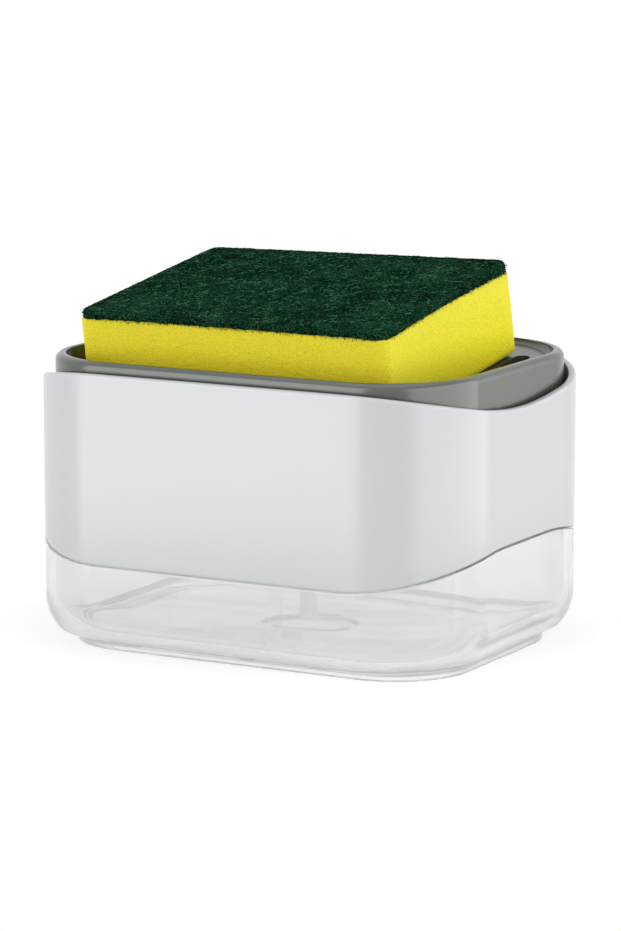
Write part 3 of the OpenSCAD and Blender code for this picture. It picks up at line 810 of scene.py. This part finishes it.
def pad_material(name, deep, strands=False):
    """Matted fibre. On loose strands each one has a tone of its own."""
    gap, fibre, tip = (0.0004, 0.0095, 0.0034), (0.0095, 0.060, 0.027), (0.066, 0.220, 0.118)
    s = Shade(name)
    hairs = s.noise(1900.0, detail=5.0, roughness=0.75)
    clumps = s.noise(240.0, detail=3.0, roughness=0.6)
    patches = s.noise(75.0, detail=2.0)
    mixed = s.mix((hairs, 0.76), (clumps, 0.12), (patches, 0.12))
    if strands:
        single = s.node("NewGeometry").outputs["Random Per Island"]
        mixed = s.mix((mixed, 0.82), (single, 0.18))
    stops = [(at, tone(colour, deep)) for at, colour in ((0.44, gap), (0.5, fibre), (0.55, tip))]
    s.link(s.ramp(mixed, stops), "Base Color")
    s.link(s.spread(clumps, 0.5, 0.8), "Roughness")
    s.bump(hairs, strength=0.8, distance=0.0005)
    s.set(Specular_IOR_Level=0.0)
    return s.mat


def steel():
    """Bright steel with fine marks of drawing."""
    s = Shade("bright_steel")
    draw = s.noise(500.0, detail=2.0, stretch=(1.0, 1.0, 6.0))
    s.link(s.ramp(draw, [(0.3, (0.55, 0.55, 0.54)), (0.7, (0.68, 0.68, 0.67))]), "Base Color")
    s.link(s.spread(draw, 0.2, 0.34), "Roughness")
    s.bump(draw, strength=0.1, distance=0.00001)
    s.set(Metallic=1.0)
    return s.mat


def paint(mat, *pieces):
    """Gives pieces a material. A name stands for the CAD node of that name."""
    for piece in pieces:
        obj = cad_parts[piece] if isinstance(piece, str) else piece
        if not obj.material_slots:
            obj.data.materials.append(mat)
        for entry in obj.material_slots:
            entry.material = mat


def finish_surfaces(sleeve, tank, fillet, spring, foam, pad, fibres):
    sleeve_white, tray_grey = (0.604, 0.630, 0.644), (0.062, 0.071, 0.059)
    matted, ragged = fibres
    paint(moulded("white_gloss_plastic", sleeve_white, rough=0.24, gloss=0.9, vary=0.003,
        uneven=0.006), sleeve)
    paint(clear_plastic(), tank)
    paint(foam_material(), foam)
    paint(pad_material("scouring_pad", deep=0.45), pad)
    paint(pad_material("scouring_strands", deep=2.1, strands=True), matted)
    # the loose strands round the pad's sides are toned far darker than those on its top: painted shade
    paint(pad_material("scouring_strands_painted_shade", deep=0.42, strands=True), ragged)
    paint(moulded("grey_plastic", tray_grey, rough=0.22, gloss=1.0, vary=0.01, uneven=0.01),
        fillet, "tray", "tray_wall", "nozzle_cap")
    paint(moulded("inner_white_plastic", (0.78, 0.79, 0.79), rough=0.4, gloss=0.5),
        "deck", "deck_plug")
    paint(moulded("pump_plastic", (0.80, 0.80, 0.79), rough=0.42, gloss=0.5),
        "cylinder", "chaplet", "closure", "stem", "piston_seat")
    paint(moulded("piston_plastic", (0.60, 0.61, 0.60), rough=0.5, gloss=0.4), "piston")
    paint(moulded("tube_plastic", (0.955, 0.96, 0.965), rough=0.35, gloss=0.5), "dip_tube")
    paint(moulded("silicone_seal", (0.50, 0.50, 0.49), rough=0.6, gloss=0.35),
        "tank_seal", "pump_gasket")
    paint(steel(), "inlet_ball", "outlet_ball", spring)


# Camera, lights and floor

CAM_AZIMUTH, CAM_ELEVATION = 28.88, 9.80
CAM_DISTANCE, CAM_LENS, CAM_SENSOR = 1.16615, 155.09, 36.0
CAM_TARGET = Vector((0, 0.00007, 0.05065))

# Soft boxes: azimuth, elevation, distance, width, height, radiance
SOFT_BOXES = {
    "left_box": (-27.0, 12.0, 1.9, 2.1, 2.2, 1.95),
    "right_box": (101.0, 12.0, 1.9, 4.5, 2.2, 1.51),
    "top_box": (0.0, 88.0, 1.2, 1.2, 1.2, 0.5)}

WORLD_FILL = 0.30
FLOOR_RADIUS, FLOOR_SIDES, FLOOR_DROP = 0.23, 96, 0.00005
FLOOR_GREY, FLOOR_GLOW = 0.75, 0.55


def stand(obj, azimuth, elevation, distance):
    """Puts a camera or lamp round the object, azimuth 0 towards -Y and 90 towards +X, facing it."""
    a, e = math.radians(azimuth), math.radians(elevation)
    way = Vector((math.sin(a) * math.cos(e), -math.cos(a) * math.cos(e), math.sin(e)))
    obj.location = CAM_TARGET + way * distance
    obj.rotation_euler = (-way).to_track_quat("-Z", "Y").to_euler()
    bpy.context.scene.collection.objects.link(obj)


def make_camera():
    data = bpy.data.cameras.new("camera")
    data.lens = CAM_LENS
    data.sensor_width = CAM_SENSOR
    data.sensor_fit = "AUTO"
    camera = bpy.data.objects.new("camera", data)
    stand(camera, CAM_AZIMUTH, CAM_ELEVATION, CAM_DISTANCE)
    bpy.context.scene.camera = camera


def soft_box(name, azimuth, elevation, distance, width, height, radiance):
    data = bpy.data.lights.new(name, "AREA")
    data.shape = "RECTANGLE"
    data.size, data.size_y = width, height
    data.energy = radiance * math.pi * width * height
    lamp = bpy.data.objects.new(name, data)
    stand(lamp, azimuth, elevation, distance)
    lamp.visible_transmission = False
    lamp.visible_camera = False


def make_lights():
    for name, values in SOFT_BOXES.items():
        soft_box(name, *values)


def seen_ray(tree):
    """1 for rays that show a thing directly, in a mirror or through clear plastic, else 0."""
    path = add_node(tree, "LightPath").outputs
    mirrored = math_node(tree, "MAXIMUM", path["Is Camera Ray"], path["Is Glossy Ray"])
    return math_node(tree, "MAXIMUM", mirrored, path["Is Transmission Ray"])


def make_world():
    """White where it is seen, and weaker where it only fills shadows."""
    world = bpy.data.worlds.new("studio")
    bpy.context.scene.world = world
    world.use_nodes = True
    tree = world.node_tree
    tree.nodes.clear()
    fill = add_node(tree, "Background", Color=(1, 1, 1, 1), Strength=WORLD_FILL)
    seen = add_node(tree, "Background", Color=(1, 1, 1, 1), Strength=1.0)
    mix = add_node(tree, "MixShader")
    for value, socket in zip((seen_ray(tree), fill.outputs[0], seen.outputs[0]), mix.inputs):
        tree.links.new(value, socket)
    tree.links.new(mix.outputs[0], add_node(tree, "OutputWorld").inputs["Surface"])


def floor_material():
    """A pale floor that takes a shadow and is as bright as the background where it is seen."""
    mat = bpy.data.materials.new("pale_floor")
    mat.use_nodes = True
    tree = mat.node_tree
    tree.nodes.clear()
    diffuse = add_node(tree, "BsdfDiffuse", Color=(FLOOR_GREY, FLOOR_GREY, FLOOR_GREY, 1))
    glow = add_node(tree, "Emission")
    tree.links.new(math_node(tree, "MULTIPLY", seen_ray(tree), FLOOR_GLOW), glow.inputs["Strength"])
    both = add_node(tree, "AddShader")
    tree.links.new(diffuse.outputs[0], both.inputs[0])
    tree.links.new(glow.outputs[0], both.inputs[1])
    tree.links.new(both.outputs[0], add_node(tree, "OutputMaterial").inputs["Surface"])
    return mat


def make_floor():
    angles = [2 * math.pi * i / FLOOR_SIDES for i in range(FLOOR_SIDES)]
    verts = [(FLOOR_RADIUS * math.cos(a), FLOOR_RADIUS * math.sin(a), 0.0) for a in angles]
    floor = new_object("floor", verts, [tuple(range(FLOOR_SIDES))])
    floor.location.z = -FLOOR_DROP
    floor.data.materials.append(floor_material())


make_camera()
make_world()
make_lights()
make_floor()
finish_surfaces(make_sleeve(), make_tank(), make_tray_fillet(), make_spring(), make_foam(), make_pad(),
    make_fibres())
bpy.context.scene.view_settings.view_transform = "Standard"
